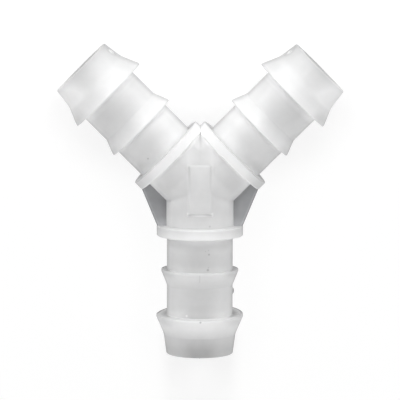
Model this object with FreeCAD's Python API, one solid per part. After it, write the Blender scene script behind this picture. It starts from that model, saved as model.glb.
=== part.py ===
import FreeCAD, Part
import math
import os

# A Y connector for soft tubing, injection moulded in one piece from natural, milky plastic.
# Three equal barbed hose tails leave one hub: two arms and a stem, all in one plane.
# It lies flat on a table. X runs across the arms, Y runs from the stem to the arms, Z is up.
# All sizes are in millimetres.

# The flow passages and the walls round them
bore_radius = 3.5
wall = 1.5
hub_swell = 0.05
arm_angle = 45.0

# Lengths along every leg, one after the other, from the point where the three axes meet
hub_length = 5.95
collar_length = 1.5
first_neck_length = 5.15
middle_barb_length = 2.4
second_neck_length = 4.6
cone_length = 2.85
nose_length = 3.1

# Heights above the neck
collar_height = 1.55
middle_barb_height = 0.85
end_barb_height = 1.6
nose_root_height = 0.48
nose_tip_height = 0.07

# Edges: small chamfers, a narrow land on each barb's crest, and a smooth blend from cone to nose
collar_chamfer = 0.12
barb_land = 0.25
cone_blend = 2.6
tip_chamfer = 0.12

# Thin webs in the corners beside the stem, and a thick gusset in the fork between the arms
web_thickness = 1.2
web_inset = 0.2
web_edge_round = 0.3
gusset_thickness = 9.6

# Raised pad on the front of the hub
pad_length = 7.2
pad_width = 3.1
pad_slope_width = 0.5
pad_rise = 0.1

# Small marks left by the mould: a gate stub on the stem, a pit on each arm, a pip on the stem's end.
# The pits are turned up round the arm from its mid plane.
stub_radius = 0.55
stub_height = 0.2
stub_place = 0.95
pit_radius = 0.42
pit_depth = 0.32
pit_turn = 16.0
pip_radius = 0.3
pip_height = 0.18

# Worked out from the sizes above
neck_radius = bore_radius + wall
hub_radius = neck_radius + hub_swell
collar_radius = neck_radius + collar_height
middle_barb_radius = neck_radius + middle_barb_height
end_barb_radius = neck_radius + end_barb_height
nose_root_radius = neck_radius + nose_root_height
tip_radius = neck_radius + nose_tip_height

collar_end = hub_length + collar_length
middle_crest = collar_end + first_neck_length
middle_flank_end = middle_crest + middle_barb_length
end_crest = middle_flank_end + second_neck_length
nose_start = end_crest + cone_length
leg_length = nose_start + nose_length
collar_middle = hub_length + collar_length / 2
web_rim = collar_radius - web_inset

# How near two points are to count as one
same_place = 0.001
lean = math.radians(arm_angle)
UP = FreeCAD.Vector(0, 0, 1)
ALONG = FreeCAD.Vector(0, 1, 0)
CENTRE = FreeCAD.Vector(0, 0, 0)


def turned(corners):
    """A solid of revolution about Y. A corner is (radius, distance along Y, blend), sharp where blend is 0."""
    points = [FreeCAD.Vector(radius, along, 0) for radius, along, blend in corners]
    stretches = []
    for index, (radius, along, blend) in enumerate(corners):
        corner = points[index]
        if blend == 0:
            stretches.append([corner])
            continue
        back = (points[index - 1] - corner).normalize()
        ahead = (points[index + 1] - corner).normalize()
        half_angle = back.getAngle(ahead) / 2
        tangent = blend / math.tan(half_angle)
        depth = blend / math.sin(half_angle) - blend
        middle = corner + (back + ahead).normalize() * depth
        stretches.append([corner + back * tangent, middle, corner + ahead * tangent])
    edges = []
    for stretch, following in zip(stretches, stretches[1:] + stretches[:1]):
        if len(stretch) == 3:
            edges.append(Part.Arc(*stretch).toShape())
        edges.append(Part.LineSegment(stretch[-1], following[0]).toShape())
    return Part.Face(Part.Wire(edges)).revolve(CENTRE, ALONG, 360)


def leg_outside():
    """One leg along +Y: hub barrel, collar, neck, middle barb, neck, end barb and nose."""
    return turned([
        (0, 0, 0),
        (hub_radius, 0, 0),
        (hub_radius, hub_length, 0),
        (collar_radius - collar_chamfer, hub_length, 0),
        (collar_radius, hub_length + collar_chamfer, 0),
        (collar_radius, collar_end - collar_chamfer, 0),
        (collar_radius - collar_chamfer, collar_end, 0),
        (neck_radius, collar_end, 0),
        (neck_radius, middle_crest, 0),
        (middle_barb_radius, middle_crest, 0),
        (middle_barb_radius, middle_crest + barb_land, 0),
        (neck_radius, middle_flank_end, 0),
        (neck_radius, end_crest, 0),
        (end_barb_radius, end_crest, 0),
        (end_barb_radius, end_crest + barb_land, 0),
        (nose_root_radius, nose_start, cone_blend),
        (tip_radius, leg_length - tip_chamfer, 0),
        (tip_radius - tip_chamfer, leg_length, 0),
        (0, leg_length, 0),
    ])


def leg_bore():
    """The passage of one leg, run out past its open end."""
    return Part.makeCylinder(bore_radius, leg_length + wall, CENTRE, ALONG)


def three_ways(shape):
    """The left arm, the right arm and the stem, fused."""
    copies = []
    for angle in (arm_angle, -arm_angle, 180.0):
        copy = shape.copy()
        copy.rotate(CENTRE, UP, angle)
        copies.append(copy)
    return copies[0].fuse(copies[1:])


def plate(corners, thickness):
    """A flat plate, centred on the mid plane."""
    outline = Part.makePolygon(corners + corners[:1])
    flat = Part.Face(outline).extrude(UP * thickness)
    flat.translate(UP * (-thickness / 2))
    return flat


def side_web(side):
    """The web under one arm. Its free edge runs from the rim of the arm's collar to the stem's."""
    arm = FreeCAD.Vector(side * math.sin(lean), math.cos(lean), 0)
    outward = FreeCAD.Vector(side * math.cos(lean), -math.sin(lean), 0)
    arm_rim = arm * hub_length + outward * web_rim
    stem_rim = FreeCAD.Vector(side * web_rim, -hub_length, 0)
    web = plate([
        arm_rim,
        stem_rim,
        FreeCAD.Vector(side * web_rim, -collar_middle, 0),
        FreeCAD.Vector(0, -collar_middle, 0),
        CENTRE,
        arm * collar_middle,
        arm * collar_middle + outward * web_rim,
    ], web_thickness)
    free_edge = Part.LineSegment(arm_rim, stem_rim).toShape()
    long_edges = []
    for edge in web.Edges:
        level = edge.CenterOfMass.z
        flat_edge = edge.copy()
        flat_edge.translate(UP * -level)
        if level != 0 and flat_edge.CenterOfMass.isEqual(free_edge.CenterOfMass, same_place):
            long_edges.append(edge)
    return web.makeFillet(web_edge_round, long_edges)


def fork_gusset():
    """The gusset that fills the fork behind the collars. It rounds down to the notch where they meet."""
    left = FreeCAD.Vector(-math.sin(lean), math.cos(lean), 0)
    right = FreeCAD.Vector(math.sin(lean), math.cos(lean), 0)
    tip = FreeCAD.Vector(0, collar_middle / math.cos(lean), 0)
    gusset = plate([CENTRE, right * collar_middle, tip, left * collar_middle], gusset_thickness)
    for arm in (left, right):
        gusset = gusset.common(Part.makeCylinder(web_rim, leg_length, CENTRE, arm))
    return gusset


def rectangle(width, length, level):
    """A closed outline, centred on the hub and parallel to the mid plane."""
    corners = [
        FreeCAD.Vector(-width / 2, -length / 2, level),
        FreeCAD.Vector(width / 2, -length / 2, level),
        FreeCAD.Vector(width / 2, length / 2, level),
        FreeCAD.Vector(-width / 2, length / 2, level),
    ]
    return Part.makePolygon(corners + corners[:1])


def pad():
    """A flat-topped pad with sloping sides and ends, for a size mark, left bare."""
    spread = 2 * pad_slope_width
    foot = rectangle(pad_width + spread, pad_length + spread, neck_radius - pad_slope_width)
    top = rectangle(pad_width, pad_length, hub_radius + pad_rise)
    return Part.makeLoft([foot, top], True, True)


def gate_stub():
    """A low domed stub where the runner broke off, on the right of the stem's second neck."""
    along = middle_flank_end + stub_place
    dome_radius = (stub_radius ** 2 + stub_height ** 2) / (2 * stub_height)
    centre = FreeCAD.Vector(neck_radius + stub_height - dome_radius, -along, 0)
    return Part.makeSphere(dome_radius, centre)


def gate_pit(side):
    """A small pit on the inner side of an arm's nose."""
    along = (nose_start + leg_length) / 2
    nose_radius = (nose_root_radius + tip_radius) / 2
    height = nose_radius - pit_depth + pit_radius
    ball = Part.makeSphere(pit_radius, FreeCAD.Vector(-side * height, along, 0))
    ball.rotate(CENTRE, ALONG, side * pit_turn)
    ball.rotate(CENTRE, UP, -side * arm_angle)
    return ball


def end_pip():
    """A pip of flash on the stem's end, in the middle of the front wall."""
    wall_middle = (bore_radius + tip_radius - tip_chamfer) / 2
    return Part.makeCone(
        pip_radius, 0, pip_height,
        FreeCAD.Vector(0, -leg_length, wall_middle),
        FreeCAD.Vector(0, -1, 0),
    )


def y_connector():
    """The whole moulding, laid on its end barbs, with the middle of its outline over the origin."""
    outside = three_ways(leg_outside())
    outside = outside.fuse([side_web(-1), side_web(1), fork_gusset(), pad(), gate_stub(), end_pip()])
    body = outside.cut([three_ways(leg_bore()), gate_pit(-1), gate_pit(1)]).Solids[0]
    box = body.optimalBoundingBox(False, False)
    body.translate(FreeCAD.Vector(-box.Center.x, -box.Center.y, -box.ZMin))
    return body


body = y_connector()
hub_place = body.optimalBoundingBox(False, False).YMin + leg_length + pip_height
print("valid", body.isValid(), "volume", round(body.Volume, 2), "faces", len(body.Faces))
print("hub centre at y", round(hub_place, 4), "box", body.optimalBoundingBox(False, False))

os.makedirs("parts", exist_ok=True)
body.exportStep("parts/y_connector.step")
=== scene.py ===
import math

import bpy
from mathutils import Matrix, Vector


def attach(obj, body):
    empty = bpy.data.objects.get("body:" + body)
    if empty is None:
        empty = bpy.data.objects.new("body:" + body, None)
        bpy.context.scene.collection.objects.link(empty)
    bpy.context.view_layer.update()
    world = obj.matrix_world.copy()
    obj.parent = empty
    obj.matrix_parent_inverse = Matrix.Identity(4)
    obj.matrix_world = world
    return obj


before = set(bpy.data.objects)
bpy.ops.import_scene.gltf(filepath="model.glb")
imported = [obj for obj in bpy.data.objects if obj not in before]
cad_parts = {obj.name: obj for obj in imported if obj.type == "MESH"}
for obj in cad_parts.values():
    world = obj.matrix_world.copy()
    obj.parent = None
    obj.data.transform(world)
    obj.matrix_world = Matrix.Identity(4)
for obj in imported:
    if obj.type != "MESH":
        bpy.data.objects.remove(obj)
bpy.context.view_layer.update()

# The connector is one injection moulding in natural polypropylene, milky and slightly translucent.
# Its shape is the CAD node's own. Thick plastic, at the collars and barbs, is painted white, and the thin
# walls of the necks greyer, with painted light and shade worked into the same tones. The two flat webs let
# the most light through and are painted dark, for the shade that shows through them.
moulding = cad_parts["y_connector"]

plastic = bpy.data.materials.new("natural_polypropylene")
plastic.use_nodes = True
# The helpers add their nodes to this tree, and later to the table's and the studio's
tree = plastic.node_tree
tree.nodes.clear()


def set_input(node, name, value):
    """Links a socket, or sets a plain value, on one input of a node."""
    if isinstance(value, bpy.types.NodeSocket):
        tree.links.new(value, node.inputs[name])
    else:
        node.inputs[name].default_value = value


def maths(operation, first, second=0.0):
    """The output of one Math node."""
    node = tree.nodes.new("ShaderNodeMath")
    node.operation = operation
    set_input(node, 0, first)
    set_input(node, 1, second)
    return node.outputs[0]


def ease(value, start, end):
    """Nought at the start and before it, one at the end and after it, with a smooth step between them."""
    node = tree.nodes.new("ShaderNodeMapRange")
    node.interpolation_type = "SMOOTHSTEP"
    set_input(node, "Value", value)
    set_input(node, "From Min", start)
    set_input(node, "From Max", end)
    return node.outputs["Result"]


def opposite(mask):
    """One where the mask is nought."""
    return maths("SUBTRACT", 1.0, mask)


MM = 0.001


def object_place():
    """Where a point is in object space, in metres."""
    return tree.nodes.new("ShaderNodeTexCoord").outputs["Object"]


def in_millimetres(place):
    """The X, Y and Z of a place, in millimetres."""
    scaled = tree.nodes.new("ShaderNodeVectorMath")
    scaled.operation = "SCALE"
    set_input(scaled, 0, place)
    set_input(scaled, "Scale", 1.0 / MM)
    parted = tree.nodes.new("ShaderNodeSeparateXYZ")
    set_input(parted, 0, scaled.outputs[0])
    return parted.outputs


# The moulding's own sizes, in millimetres. Those along a leg start at the hub's centre, where the axes meet.
HUB_Y = 2.0816
HUB_Z = 6.6
ARM_TURN = math.radians(45.0)
MIDDLE_BARB = 12.6
END_BARB = 19.6
LEG_LENGTH = 25.55
NECK_RADIUS = 5.0
MIDDLE_BARB_RADIUS = 5.85
END_BARB_RADIUS = 6.6

# Where a point is, in millimetres: along the nearest leg, out from each leg's mid plane, and above the
# parting line
place = object_place()
point = in_millimetres(place)
across = maths("ABSOLUTE", point["X"])
forward = maths("SUBTRACT", point["Y"], HUB_Y)
from_hub_middle = maths("ABSOLUTE", forward)
height = maths("SUBTRACT", point["Z"], HUB_Z)
level = maths("ABSOLUTE", height)
along_arm = maths("MULTIPLY", maths("ADD", across, forward), math.sin(ARM_TURN))
outside_arm = maths("MULTIPLY", maths("SUBTRACT", across, forward), math.sin(ARM_TURN))
along_stem = maths("MULTIPLY", forward, -1.0)
along = maths("MAXIMUM", along_arm, along_stem)
on_stem = ease(maths("SUBTRACT", along_stem, along_arm), -0.2, 0.2)
on_arm = opposite(on_stem)
on_left = ease(point["X"], 0.5, -0.5)
in_front = ease(height, 0.0, 0.5)
in_hub = ease(along, 6.0, 5.9)

# Tones along a leg: millimetres from the hub's centre, an arm, the stem's middle, the stem's sides. Besides
# the plastic's own tone they hold painted light and shade: the stem is darker than the arms and darker at
# the middle of its necks than at their sides, the noses darken towards their ends, and the necks are lighter
# by the collars and, on the arms, just before the barbs, where shade would fall.
tones = [
    (0.0, 0.75, 0.77, 0.77),
    (4.9, 0.77, 0.71, 0.73),
    (5.9, 0.84, 0.64, 0.66),
    (6.0, 0.87, 0.80, 0.74),
    (6.5, 0.86, 0.85, 0.80),
    (7.1, 0.86, 0.92, 0.87),
    (7.4, 0.86, 0.95, 0.93),
    (7.5, 0.80, 0.90, 0.91),
    (8.6, 0.74, 0.77, 0.80),
    (10.0, 0.71, 0.65, 0.72),
    (12.0, 0.73, 0.62, 0.72),
    (12.5, 0.84, 0.60, 0.70),
    (12.6, 0.83, 0.73, 0.77),
    (12.9, 0.80, 0.78, 0.80),
    (14.9, 0.73, 0.84, 0.86),
    (15.1, 0.70, 0.69, 0.76),
    (17.3, 0.66, 0.70, 0.78),
    (18.4, 0.66, 0.63, 0.76),
    (19.5, 0.87, 0.59, 0.78),
    (19.6, 0.84, 0.91, 0.86),
    (21.0, 0.78, 0.85, 0.81),
    (22.5, 0.75, 0.69, 0.68),
    (22.6, 0.74, 0.61, 0.65),
    (24.4, 0.67, 0.44, 0.57),
    (25.55, 0.58, 0.42, 0.55),
]


def tone_along(column):
    """A curve through one column of the tones."""
    ramp = tree.nodes.new("ShaderNodeValToRGB")
    set_input(ramp, 0, maths("DIVIDE", along, LEG_LENGTH))
    stops = ramp.color_ramp.elements
    while len(stops) > 1:
        stops.remove(stops[-1])
    for index, row in enumerate(tones):
        position = row[0] / LEG_LENGTH
        stop = stops[0] if index == 0 else stops.new(position)
        stop.position = position
        stop.color = (row[column], row[column], row[column], 1.0)
    return ramp.outputs["Color"]


def mixed(amount, first, second):
    """A float that goes from the first value to the second as the amount goes from nought to one."""
    node = tree.nodes.new("ShaderNodeMix")
    node.data_type = "FLOAT"
    set_input(node, "Factor", amount)
    set_input(node, 2, first)
    set_input(node, 3, second)
    return node.outputs[0]


arm_tone = tone_along(1)
stem_tone = mixed(ease(across, 0.8, 3.4), tone_along(2), tone_along(3))
tone = mixed(on_stem, arm_tone, stem_tone)


def overlap(mask, *others):
    """One where every mask is one."""
    for other in others:
        mask = maths("MULTIPLY", mask, other)
    return mask


def band(value, start, full, still_full, end):
    """One between the two middle values, and nought before the start and after the end."""
    return overlap(ease(value, start, full), ease(value, end, still_full))


def changed(tone, amount, factor):
    """The tone times a factor where the amount is one, and as it was where the amount is nought."""
    return maths("MULTIPLY", tone, mixed(amount, 1.0, factor))


# Painted light: the sides of the arms that face each other are painted whiter, and so is the fork. The arms'
# noses are painted whiter on their outer sides instead, and a little darker on their inner sides past the
# end barb. A change at a barb's crest is sharp.
SHARP = 0.02
past_end_barb = overlap(on_arm, ease(along, END_BARB - SHARP, END_BARB))
on_nose = overlap(on_arm, ease(along, 21.5, 23.0))
facing_fork = overlap(on_arm, ease(outside_arm, 1.0, -3.4))
tone = changed(tone, facing_fork, mixed(past_end_barb, 1.18, 1.05))
tone = changed(tone, overlap(past_end_barb, ease(outside_arm, -3.5, -5.6)), 0.86)
tone = changed(tone, overlap(on_nose, ease(outside_arm, 0.5, 4.0)), 1.34)
tone = maths("MINIMUM", tone, mixed(on_stem, 0.86, 0.95))

# Painted light and shade in the fork: the hub's fork side is painted a little darker, its corner by the
# collars lighter, and the hub beside the pad under the collars darker
in_fork = overlap(in_hub, on_arm, ease(outside_arm, -1.5, -5.0))
tone = changed(tone, in_fork, mixed(ease(along, 5.35, 5.8), 0.87, 0.96))
fork_corner = overlap(in_hub, on_arm, band(outside_arm, -4.9, -4.0, -2.0, 0.0), ease(along, 5.4, 5.75))
tone = changed(tone, fork_corner, 1.13)
hub_brow = overlap(on_arm, band(outside_arm, -2.8, -1.6, 2.6, 4.2), band(along, 2.6, 3.4, 5.4, 5.75))
tone = changed(tone, overlap(hub_brow, ease(across, 1.6, 2.2)), 0.935)

# Painted light: the arms' necks are lighter on the fork side just before each barb, where shade would gather
# in the corner
middle_barb_foot = band(along, MIDDLE_BARB - 0.5, MIDDLE_BARB - 0.2, MIDDLE_BARB - SHARP, MIDDLE_BARB)
end_barb_foot = band(along, END_BARB - 0.6, END_BARB - 0.3, END_BARB - SHARP, END_BARB)
barb_foot = maths("MAXIMUM", middle_barb_foot, end_barb_foot)
tone = changed(tone, overlap(barb_foot, facing_fork), 1.1)


def gap(value, middle):
    """How far a value is from a middle one, on either side."""
    return maths("ABSOLUTE", maths("SUBTRACT", value, middle))


# Painted light fills the hub's creases and the corners behind the collars, standing in for light that
# spreads inside the plastic. The hub's sides and the outer sides of the arms' second necks are painted
# lighter too, and the fork side just after each arm's collar a little darker.
beside = mixed(on_stem, outside_arm, across)
crease = overlap(in_hub, ease(gap(along_stem, along_arm), 4.0, 0.0), ease(across, 2.0, 4.4))
tone = changed(tone, crease, 1.18)
hub_side = overlap(in_hub, ease(beside, 3.8, 4.95))
tone = changed(tone, hub_side, mixed(on_stem, 1.12, 1.06))
behind_collar = overlap(on_arm, band(along, 7.45, 7.5, 7.7, 8.9), ease(beside, 1.5, 4.0))
tone = changed(tone, behind_collar, 1.16)
after_collar = overlap(facing_fork, band(along, 7.45, 7.5, 9.0, 11.0))
tone = changed(tone, after_collar, 0.93)
second_neck = overlap(on_arm, band(along, 15.0, 17.5, END_BARB - SHARP, END_BARB), ease(beside, 2.0, 4.8))
tone = changed(tone, second_neck, 1.16)

# Painted shade: the outer sides of the collars and barbs are painted darker. The collars' edges away from
# the hub are painted darker, those near it lighter, the stem collar's sides darker, and each side of a leg
# darkens towards the parting line as a painted outline. Where the arms' collars meet they are painted
# lighter.
on_collar = band(along, 5.9, 5.96, 7.44, 7.5)
on_arm_collar = overlap(on_collar, on_arm)
tone = changed(tone, overlap(on_arm_collar, ease(outside_arm, 2.0, 6.2)), 0.75)
far_edge = overlap(on_arm, band(along, 7.28, 7.34, 7.46, 7.5), ease(level, 1.0, 3.5))
tone = changed(tone, far_edge, mixed(ease(outside_arm, -1.5, -3.4), 0.8, 0.9))
near_edge = overlap(on_arm, band(along, 5.94, 5.96, 6.08, 6.2))
tone = changed(tone, near_edge, 1.1)
stem_collar_side = overlap(on_collar, on_stem, ease(across, 4.0, 6.5))
tone = changed(tone, stem_collar_side, 0.82)
on_middle_crest = band(along, MIDDLE_BARB - SHARP, MIDDLE_BARB, 12.9, 14.0)
on_end_crest = band(along, END_BARB - SHARP, END_BARB, 20.2, 21.6)
crest_side = overlap(maths("MAXIMUM", on_middle_crest, on_end_crest), ease(beside, 3.2, 5.4))
tone = changed(tone, crest_side, 0.84)
outline_shade = overlap(ease(level, 2.4, 0.5), opposite(in_hub))
tone = changed(tone, outline_shade, mixed(on_nose, 0.76, 0.84))
collars_meet = overlap(on_arm_collar, ease(across, 1.6, 0.2))
tone = changed(tone, collars_meet, 1.12)


def span(first, second, third=0.0):
    """How long a straight line is, from its parts along the three axes."""
    line = tree.nodes.new("ShaderNodeCombineXYZ")
    for index, part in enumerate((first, second, third)):
        set_input(line, index, part)
    node = tree.nodes.new("ShaderNodeVectorMath")
    node.operation = "LENGTH"
    set_input(node, 0, line.outputs[0])
    return node.outputs["Value"]


# Painted shade: the flat shoulders behind the barbs are painted greyer at their sides, and darkest round
# their lower rims. The end barb's is painted as far as the wedge behind it reaches, outside the neck.
reach = span(beside, level)
behind_middle = maths("LESS_THAN", gap(along, MIDDLE_BARB), 0.01)
behind_end = maths("LESS_THAN", gap(along, END_BARB - 0.3), 0.31)
behind_end = overlap(behind_end, maths("GREATER_THAN", reach, NECK_RADIUS + 0.02))
shaded_side = overlap(ease(beside, 4.0, 4.9), ease(height, 4.0, 2.5))
shoulder_tone = mixed(shaded_side, 0.66, mixed(ease(reach, 5.2, 6.2), 0.46, 0.62))
from_rim = maths("SUBTRACT", mixed(behind_end, MIDDLE_BARB_RADIUS, END_BARB_RADIUS), reach)
lower_rim = overlap(ease(from_rim, 0.35, 0.15), ease(height, 0.5, -1.5))
shoulder_tone = mixed(lower_rim, shoulder_tone, 0.28)
tone = mixed(maths("MAXIMUM", behind_middle, behind_end), tone, shoulder_tone)

# The raised pad is hardly seen, because its slopes are worn soft and painted light and shade even it out:
# its sides are painted a little lighter, the slope at its lower end the lightest, and its face darker at the
# end towards the arms and lighter towards the stem.
pad_sides = overlap(band(across, 1.45, 1.6, 1.9, 2.05), ease(from_hub_middle, 4.1, 3.8))
tone = changed(tone, overlap(in_front, pad_sides), mixed(on_left, 1.02, 1.04))
pad_foot = overlap(ease(across, 2.05, 1.9), band(forward, -4.1, -3.85, -3.6, -3.3))
tone = changed(tone, overlap(in_front, pad_foot), 1.3)
pad_face = overlap(ease(across, 1.6, 1.5), ease(from_hub_middle, 3.6, 3.4))
tone = changed(tone, overlap(in_front, pad_face), mixed(ease(forward, -0.8, -2.8), 0.965, 1.06))

# The webs: beyond both barrels of the hub, in the thickness of the plate. They are thin and clearer, and are
# painted dark for the shade that shows through them, the left one a little darker in its lower part, and
# both lighter towards the stem's collar. A painted highlight runs inside their free edges, which are painted
# darker.
EDGE_OFFSET = 8.277
WEB_TURN = math.radians(22.5)
web = overlap(ease(outside_arm, 5.04, 5.12), ease(across, 5.04, 5.12), ease(level, 0.68, 0.62), in_hub)
out_from_hub = maths("MULTIPLY", across, math.cos(WEB_TURN))
out_from_hub = maths("SUBTRACT", out_from_hub, maths("MULTIPLY", forward, math.sin(WEB_TURN)))
from_edge = maths("SUBTRACT", EDGE_OFFSET, out_from_hub)
web_tone = mixed(overlap(on_left, ease(along_stem, 0.9, 2.2)), 0.37, 0.33)
web_tone = mixed(ease(along_stem, 4.3, 5.9), web_tone, 0.49)
web_tone = changed(web_tone, ease(gap(from_edge, 0.28), 0.13, 0.02), 1.2)
web_tone = changed(web_tone, ease(from_edge, 0.2, 0.05), 0.7)
tone = mixed(web, tone, web_tone)

# Small marks on the front: X and distance behind the hub's centre, size, and how much lighter or darker
# the plastic is there
marks = [
    (1.38, 9.75, 0.14, 0.72),
    (1.30, 9.10, 0.10, 0.86),
    (1.21, 12.10, 0.17, 0.66),
    (1.30, 11.75, 0.11, 0.84),
    (0.85, 9.25, 0.09, 0.88),
    (0.12, 19.80, 0.15, 0.70),
    (-1.95, 19.15, 0.16, 1.25),
    (1.48, 5.50, 0.14, 0.80),
    (-7.81, -4.71, 0.13, 0.74),
]
for mark_x, mark_back, size, factor in marks:
    away = span(maths("SUBTRACT", point["X"], mark_x), maths("ADD", forward, mark_back))
    tone = changed(tone, overlap(in_front, ease(away, size * 1.5, size * 0.5)), factor)

# A fine scratch along the stem's middle barb, and the dark gate stub on the right of its second neck
scratch = overlap(in_front, ease(across, 0.14, 0.04), band(along_stem, 12.7, 12.9, 13.8, 14.1))
tone = changed(tone, scratch, 0.9)
gate_stub = overlap(ease(reach, 5.03, 5.07), band(along_stem, 15.2, 15.3, 16.5, 16.6))
tone = changed(tone, gate_stub, 0.5)

# The gate pits on the inner sides of the arms' noses are light inside, and the plastic round them is a
# little greyer
PIT_ALONG = 24.0
PIT_INSIDE = 5.167
PIT_HEIGHT = 1.4815
from_pit = span(
    maths("SUBTRACT", along_arm, PIT_ALONG), maths("ADD", outside_arm, PIT_INSIDE),
    maths("SUBTRACT", height, PIT_HEIGHT),
)
tone = changed(tone, band(from_pit, 0.5, 0.65, 0.85, 1.15), 0.94)
tone = mixed(ease(from_pit, 0.46, 0.43), tone, 0.78)


def noise(scale, detail, seed):
    """A noise pattern in object space. Its scale is in features to the metre."""
    node = tree.nodes.new("ShaderNodeTexNoise")
    node.noise_dimensions = "4D"
    set_input(node, "Vector", place)
    set_input(node, "W", seed)
    set_input(node, "Scale", scale)
    set_input(node, "Detail", detail)
    return node.outputs["Fac"]


# Milky clouds in the plastic, and small flecks
clouds = maths("MULTIPLY", maths("SUBTRACT", noise(260.0, 3.0, 1.7), 0.5), 0.08)
flecks = maths("MULTIPLY", maths("SUBTRACT", noise(1100.0, 2.0, 6.3), 0.5), 0.045)
tone = maths("ADD", tone, maths("ADD", clouds, flecks))

# The plastic is nearly grey, and a little bluer in the webs
colour = tree.nodes.new("ShaderNodeCombineColor")
set_input(colour, "Red", maths("MULTIPLY", tone, mixed(web, 0.997, 0.96)))
set_input(colour, "Green", maths("MULTIPLY", tone, mixed(web, 0.998, 0.97)))
set_input(colour, "Blue", tone)

# The moulding's edges are a little soft. The crests where the three barrels meet are blended further, and
# so are the pad's slopes. The skin is finely grained, as moulded.
EDGE_SOFTNESS = 0.15 * MM
CREST_SOFTNESS = 1.0 * MM
PAD_SOFTNESS = 0.6 * MM
on_pad = overlap(ease(across, 2.5, 2.3), ease(from_hub_middle, 4.5, 4.2), ease(height, 0.0, 1.0))
off_crest_line = ease(gap(outside_arm, -0.2), 0.6, 1.6)
blended = overlap(ease(level, 1.6, 2.2), ease(along, 5.9, 5.6), off_crest_line, opposite(on_pad))
rounded = tree.nodes.new("ShaderNodeBevel")
rounded.samples = 8
softness = mixed(blended, EDGE_SOFTNESS, CREST_SOFTNESS)
set_input(rounded, "Radius", mixed(on_pad, softness, PAD_SOFTNESS))
skin = tree.nodes.new("ShaderNodeBump")
set_input(skin, "Normal", rounded.outputs[0])
set_input(skin, "Strength", 0.35)
set_input(skin, "Distance", 0.01 * MM)
set_input(skin, "Height", noise(2600.0, 4.0, 4.2))

# Satin, and duller at a glancing angle, with a little light spreading under the skin
facing = tree.nodes.new("ShaderNodeLayerWeight")
glancing = ease(facing.outputs["Facing"], 0.15, 0.6)
satin = mixed(noise(700.0, 3.0, 8.1), 0.34, 0.46)
surface = tree.nodes.new("ShaderNodeBsdfPrincipled")
set_input(surface, "Base Color", colour.outputs[0])
set_input(surface, "Roughness", mixed(glancing, satin, 1.0))
set_input(surface, "IOR", 1.49)
set_input(surface, "Specular IOR Level", 0.3)
set_input(surface, "Normal", skin.outputs[0])
set_input(surface, "Subsurface Weight", 0.25)
set_input(surface, "Subsurface Radius", (1.0, 1.0, 1.05))
set_input(surface, "Subsurface Scale", 1.0 * MM)
output = tree.nodes.new("ShaderNodeOutputMaterial")
set_input(output, "Surface", surface.outputs[0])

moulding.data.materials.clear()
moulding.data.materials.append(plastic)

# The fork is filled with the same plastic up to the notch where the two collars meet, nearly flush with
# their rims. Each half of the fill is part of a barrel round its own arm, faced off on top, and the halves
# meet in a faint valley. One fill is on the front of the moulding and its mirror image on the back.
FILL_RADIUS = 6.4 * MM
FILL_LENGTH = 5.98 * MM
FILL_START = 0.2 * MM
FACE_HEIGHT = 5.055 * MM
FACE_TILT = math.radians(2.0)
UNDERSIDE_HEIGHT = 4.0 * MM
UNDERSIDE_UP = 0.773
UNDERSIDE_OUT = 0.635
LOWEST = 1.9 * MM
hub = Vector((0.0, HUB_Y, HUB_Z)) * MM
arm = Vector((math.sin(ARM_TURN), math.cos(ARM_TURN), 0.0))
to_fork = Vector((-math.cos(ARM_TURN), math.sin(ARM_TURN), 0.0))
up = Vector((0.0, 0.0, 1.0))


def trim(through, direction, fill=True):
    """Cuts off what lies past a plane, on the side that the direction points to."""
    bpy.ops.mesh.select_all(action="SELECT")
    bpy.ops.mesh.bisect(plane_co=through, plane_no=direction, use_fill=fill, clear_outer=True)


bpy.ops.object.select_all(action="DESELECT")
bpy.ops.mesh.primitive_cylinder_add(
    vertices=160, radius=FILL_RADIUS, depth=FILL_LENGTH,
    location=hub + arm * FILL_LENGTH / 2, rotation=(-math.pi / 2, 0.0, -ARM_TURN),
)
front_fill = bpy.context.object
front_fill.name = "fork_fill_front"
bpy.ops.object.transform_apply(location=True, rotation=True, scale=True)
bpy.ops.object.mode_set(mode="EDIT")
top_direction = up * math.cos(FACE_TILT) + to_fork * math.sin(FACE_TILT)
trim(hub + top_direction * FACE_HEIGHT, top_direction)
trim(hub + to_fork * FILL_START, -to_fork)
under_direction = -(up * UNDERSIDE_UP + to_fork * UNDERSIDE_OUT)
trim(hub - under_direction * UNDERSIDE_HEIGHT, under_direction)
trim(hub + up * LOWEST, -up)
trim(hub, Vector((-1.0, 0.0, 0.0)), fill=False)
bpy.ops.object.mode_set(mode="OBJECT")
both_arms = front_fill.modifiers.new("both_arms", "MIRROR")
both_arms.merge_threshold = 0.01 * MM
bpy.ops.object.modifier_apply(modifier=both_arms.name)
bpy.ops.object.mode_set(mode="EDIT")
bpy.ops.mesh.select_all(action="SELECT")
bpy.ops.mesh.normals_make_consistent(inside=False)
bpy.ops.object.mode_set(mode="OBJECT")
bpy.ops.object.shade_smooth_by_angle(angle=math.radians(45.0))
front_fill.data.materials.append(plastic)

bpy.ops.object.duplicate()
back_fill = bpy.context.object
back_fill.name = "fork_fill_back"
bpy.ops.object.mode_set(mode="EDIT")
bpy.ops.mesh.select_all(action="SELECT")
bpy.ops.transform.resize(value=(1.0, 1.0, -1.0), center_override=hub)
bpy.ops.mesh.normals_make_consistent(inside=False)
bpy.ops.object.mode_set(mode="OBJECT")
for fill in (front_fill, back_fill):
    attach(fill, "root")

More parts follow.
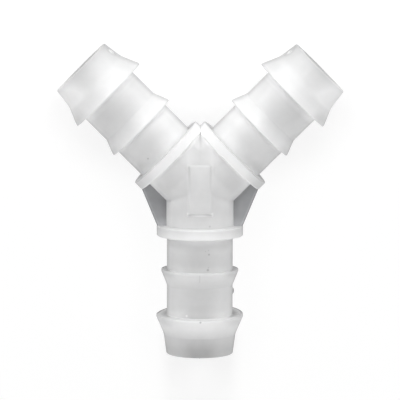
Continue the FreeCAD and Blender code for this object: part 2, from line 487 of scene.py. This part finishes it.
# The webs reach nearly to the rims of the collars, a little further out than the CAD node's own. A strip
# with rounded edges lies along the free edge of each web, and its ends sink into the collars.
STRIP_WIDTH = 0.684 * MM
STRIP_LENGTH = 7.13 * MM
STRIP_THICKNESS = 1.206 * MM
STRIP_ROUNDING = 0.3 * MM
for name, side in (("left_web_edge", -1.0), ("right_web_edge", 1.0)):
    outward = Vector((side * math.cos(WEB_TURN), -math.sin(WEB_TURN), 0.0))
    bpy.ops.object.select_all(action="DESELECT")
    bpy.ops.mesh.primitive_cube_add(
        size=1.0, location=hub + outward * (EDGE_OFFSET * MM - STRIP_WIDTH / 2),
        rotation=(0.0, 0.0, -side * WEB_TURN), scale=(STRIP_WIDTH, STRIP_LENGTH, STRIP_THICKNESS),
    )
    strip = bpy.context.object
    strip.name = name
    bpy.ops.object.transform_apply(location=True, rotation=True, scale=True)
    rounding = strip.modifiers.new("rounded_edges", "BEVEL")
    rounding.width = STRIP_ROUNDING
    rounding.segments = 6
    bpy.ops.object.modifier_apply(modifier=rounding.name)
    bpy.ops.object.shade_smooth_by_angle(angle=math.radians(45.0))
    strip.data.materials.append(plastic)
    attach(strip, "root")

# On the back half, the shoulder behind the stem's end barb stands out a little towards the hub, as the
# halves of the mould left it. It is a wedge of a thin ring in the same plastic, sunk into the barb and
# into the neck. Its face leans out most at the back, and a little more on the right than on the left.
RING_INSIDE = 4.9 * MM
RING_OUTSIDE = 6.57 * MM
RING_START = 19.7 * MM
RING_DEPTH = 0.6 * MM
SHOULDER_LEAN = Vector((-0.017, 1.0, 0.075))
ring_place = hub - Vector((0.0, RING_START, 0.0))
bpy.ops.object.select_all(action="DESELECT")
bpy.ops.mesh.primitive_circle_add(
    vertices=128, radius=RING_INSIDE, location=ring_place, rotation=(-math.pi / 2, 0.0, 0.0),
)
wedge = bpy.context.object
wedge.name = "stem_shoulder_wedge"
bpy.ops.object.transform_apply(location=True, rotation=True, scale=True)
bpy.ops.object.mode_set(mode="EDIT")
bpy.ops.mesh.select_all(action="SELECT")
bpy.ops.mesh.extrude_edges_move(TRANSFORM_OT_translate={"value": (0.0, 0.0, 0.0)})
widening = RING_OUTSIDE / RING_INSIDE
bpy.ops.transform.resize(value=(widening, 1.0, widening), center_override=ring_place)
bpy.ops.mesh.select_all(action="SELECT")
bpy.ops.mesh.extrude_region_move(TRANSFORM_OT_translate={"value": (0.0, RING_DEPTH, 0.0)})
trim(hub, up)
trim(hub - Vector((0.0, END_BARB * MM, 0.0)), SHOULDER_LEAN.normalized())
bpy.ops.mesh.select_all(action="SELECT")
bpy.ops.mesh.normals_make_consistent(inside=False)
bpy.ops.object.mode_set(mode="OBJECT")
bpy.ops.object.shade_smooth_by_angle(angle=math.radians(30.0))
wedge.data.materials.append(plastic)
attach(wedge, "root")

# The floor is a plain white studio table that the fitting lies on. The camera sees it as white, and
# the fitting's soft shadow stays on it.
TABLE_SIZE = 6.0
bpy.ops.object.select_all(action="DESELECT")
bpy.ops.mesh.primitive_plane_add(size=TABLE_SIZE, location=(0.0, 0.0, 0.0))
floor = bpy.context.object
floor.name = "table"


def seen_or_lighting(seen, lighting):
    """One shader for rays from the camera, gloss or transmission, another for light on its way round."""
    path = tree.nodes.new("ShaderNodeLightPath").outputs
    seen_ray = maths("MAXIMUM", path["Is Camera Ray"], path["Is Glossy Ray"])
    seen_ray = maths("MAXIMUM", seen_ray, path["Is Transmission Ray"])
    choice = tree.nodes.new("ShaderNodeMixShader")
    set_input(choice, 0, seen_ray)
    set_input(choice, 1, lighting.outputs[0])
    set_input(choice, 2, seen.outputs[0])
    return choice.outputs[0]


# How strongly the table shows the shadow: more by the arms than by the stem, most under the stem's end,
# and not at all far from the fitting. The rest of it is plain white.
white = bpy.data.materials.new("white_table")
white.use_nodes = True
tree = white.node_tree
tree.nodes.clear()
spot = in_millimetres(object_place())
shadow = mixed(ease(spot["Y"], 9.0, 0.0), 0.38, 0.10)
under_end = overlap(ease(maths("ABSOLUTE", spot["X"]), 7.0, 4.0), ease(spot["Y"], -19.0, -24.0))
shadow = mixed(under_end, shadow, 0.6)
shadow = overlap(shadow, ease(span(spot["X"], spot["Y"]), 140.0, 60.0))
shaded = tree.nodes.new("ShaderNodeBsdfDiffuse")
set_input(shaded, "Color", shadow)
bright = tree.nodes.new("ShaderNodeEmission")
set_input(bright, "Strength", opposite(maths("MULTIPLY", shadow, 0.857)))
seen_table = tree.nodes.new("ShaderNodeAddShader")
set_input(seen_table, 0, shaded.outputs[0])
set_input(seen_table, 1, bright.outputs[0])
lighting_table = tree.nodes.new("ShaderNodeBsdfDiffuse")
set_input(lighting_table, "Color", (0.8, 0.8, 0.8, 1.0))
table_output = tree.nodes.new("ShaderNodeOutputMaterial")
set_input(table_output, "Surface", seen_or_lighting(seen_table, lighting_table))
floor.data.materials.append(white)

# The studio's white walls and ceiling give an even light from all round. The camera sees them as white.
WALL_LIGHT = 0.16
world = bpy.data.worlds.new("white_studio")
bpy.context.scene.world = world
world.use_nodes = True
tree = world.node_tree
tree.nodes.clear()
seen_walls = tree.nodes.new("ShaderNodeBackground")
set_input(seen_walls, "Color", (1.0, 1.0, 1.0, 1.0))
set_input(seen_walls, "Strength", 1.0)
lighting_walls = tree.nodes.new("ShaderNodeBackground")
set_input(lighting_walls, "Color", (1.0, 1.0, 1.0, 1.0))
set_input(lighting_walls, "Strength", WALL_LIGHT)
world_output = tree.nodes.new("ShaderNodeOutputWorld")
set_input(world_output, "Surface", seen_or_lighting(seen_walls, lighting_walls))

# Six soft boxes stand round the table, aimed at the hub. The near one and the two far corners light the
# inner sides of the arms most. The others fill the sides and the slopes that face the stem's end. A row
# holds azimuth and elevation in degrees, distance, width and height in metres, and brightness.
soft_boxes = {
    "near_box": (0.0, 45.0, 0.12, 0.10, 0.05, 0.36),
    "far_left_box": (-50.0, 15.0, 0.30, 0.16, 0.10, 0.35),
    "far_right_box": (50.0, 15.0, 0.30, 0.16, 0.10, 0.35),
    "left_fill": (-90.0, 60.0, 0.30, 0.24, 0.10, 0.20),
    "right_fill": (90.0, 60.0, 0.30, 0.24, 0.10, 0.20),
    "stem_fill": (180.0, 12.0, 0.30, 0.24, 0.10, 0.55),
}
for name, (azimuth, elevation, distance, box_width, box_height, brightness) in soft_boxes.items():
    # A surface that faces a lamp with a brightness of one renders at its own colour
    lamp = bpy.data.lights.new(name, "AREA")
    lamp.shape = "RECTANGLE"
    lamp.size = box_width
    lamp.size_y = box_height
    lamp.energy = brightness * (math.pi * distance) ** 2
    turn = math.radians(azimuth)
    rise = math.radians(elevation)
    away = Vector((math.sin(turn) * math.cos(rise), math.cos(turn) * math.cos(rise), math.sin(rise)))
    box = bpy.data.objects.new(name, lamp)
    box.location = hub + away * distance
    box.rotation_euler = away.to_track_quat("Z", "Y").to_euler()
    bpy.context.scene.collection.objects.link(box)

# The camera is a long lens nearly straight above, leaning a little towards the arms
CAMERA_LEAN = math.radians(6.97)
CAMERA_ROLL = math.radians(0.17)
CAMERA_DISTANCE = 0.4415
LENS_LENGTH = 262.3
PICTURE_DROP = 2.068 * MM
image_up = Vector((0.0, math.cos(CAMERA_LEAN), -math.sin(CAMERA_LEAN)))
picture_centre = hub - image_up * PICTURE_DROP
lens = bpy.data.cameras.new("long_lens")
lens.lens = LENS_LENGTH
lens.sensor_width = 36.0
lens.clip_start = 0.01
lens.clip_end = 20.0
camera = bpy.data.objects.new("long_lens", lens)
camera_place = hub + CAMERA_DISTANCE * Vector((0.0, math.sin(CAMERA_LEAN), math.cos(CAMERA_LEAN)))
backward = (camera_place - picture_centre).normalized()
rightward = Matrix.Rotation(CAMERA_ROLL, 3, backward) @ image_up.cross(backward).normalized()
upward = backward.cross(rightward)
camera_turn = Matrix((rightward, upward, backward)).transposed().to_4x4()
camera.matrix_world = Matrix.Translation(camera_place) @ camera_turn
bpy.context.scene.collection.objects.link(camera)
bpy.context.scene.camera = camera

bpy.context.scene.view_settings.view_transform = "Standard"
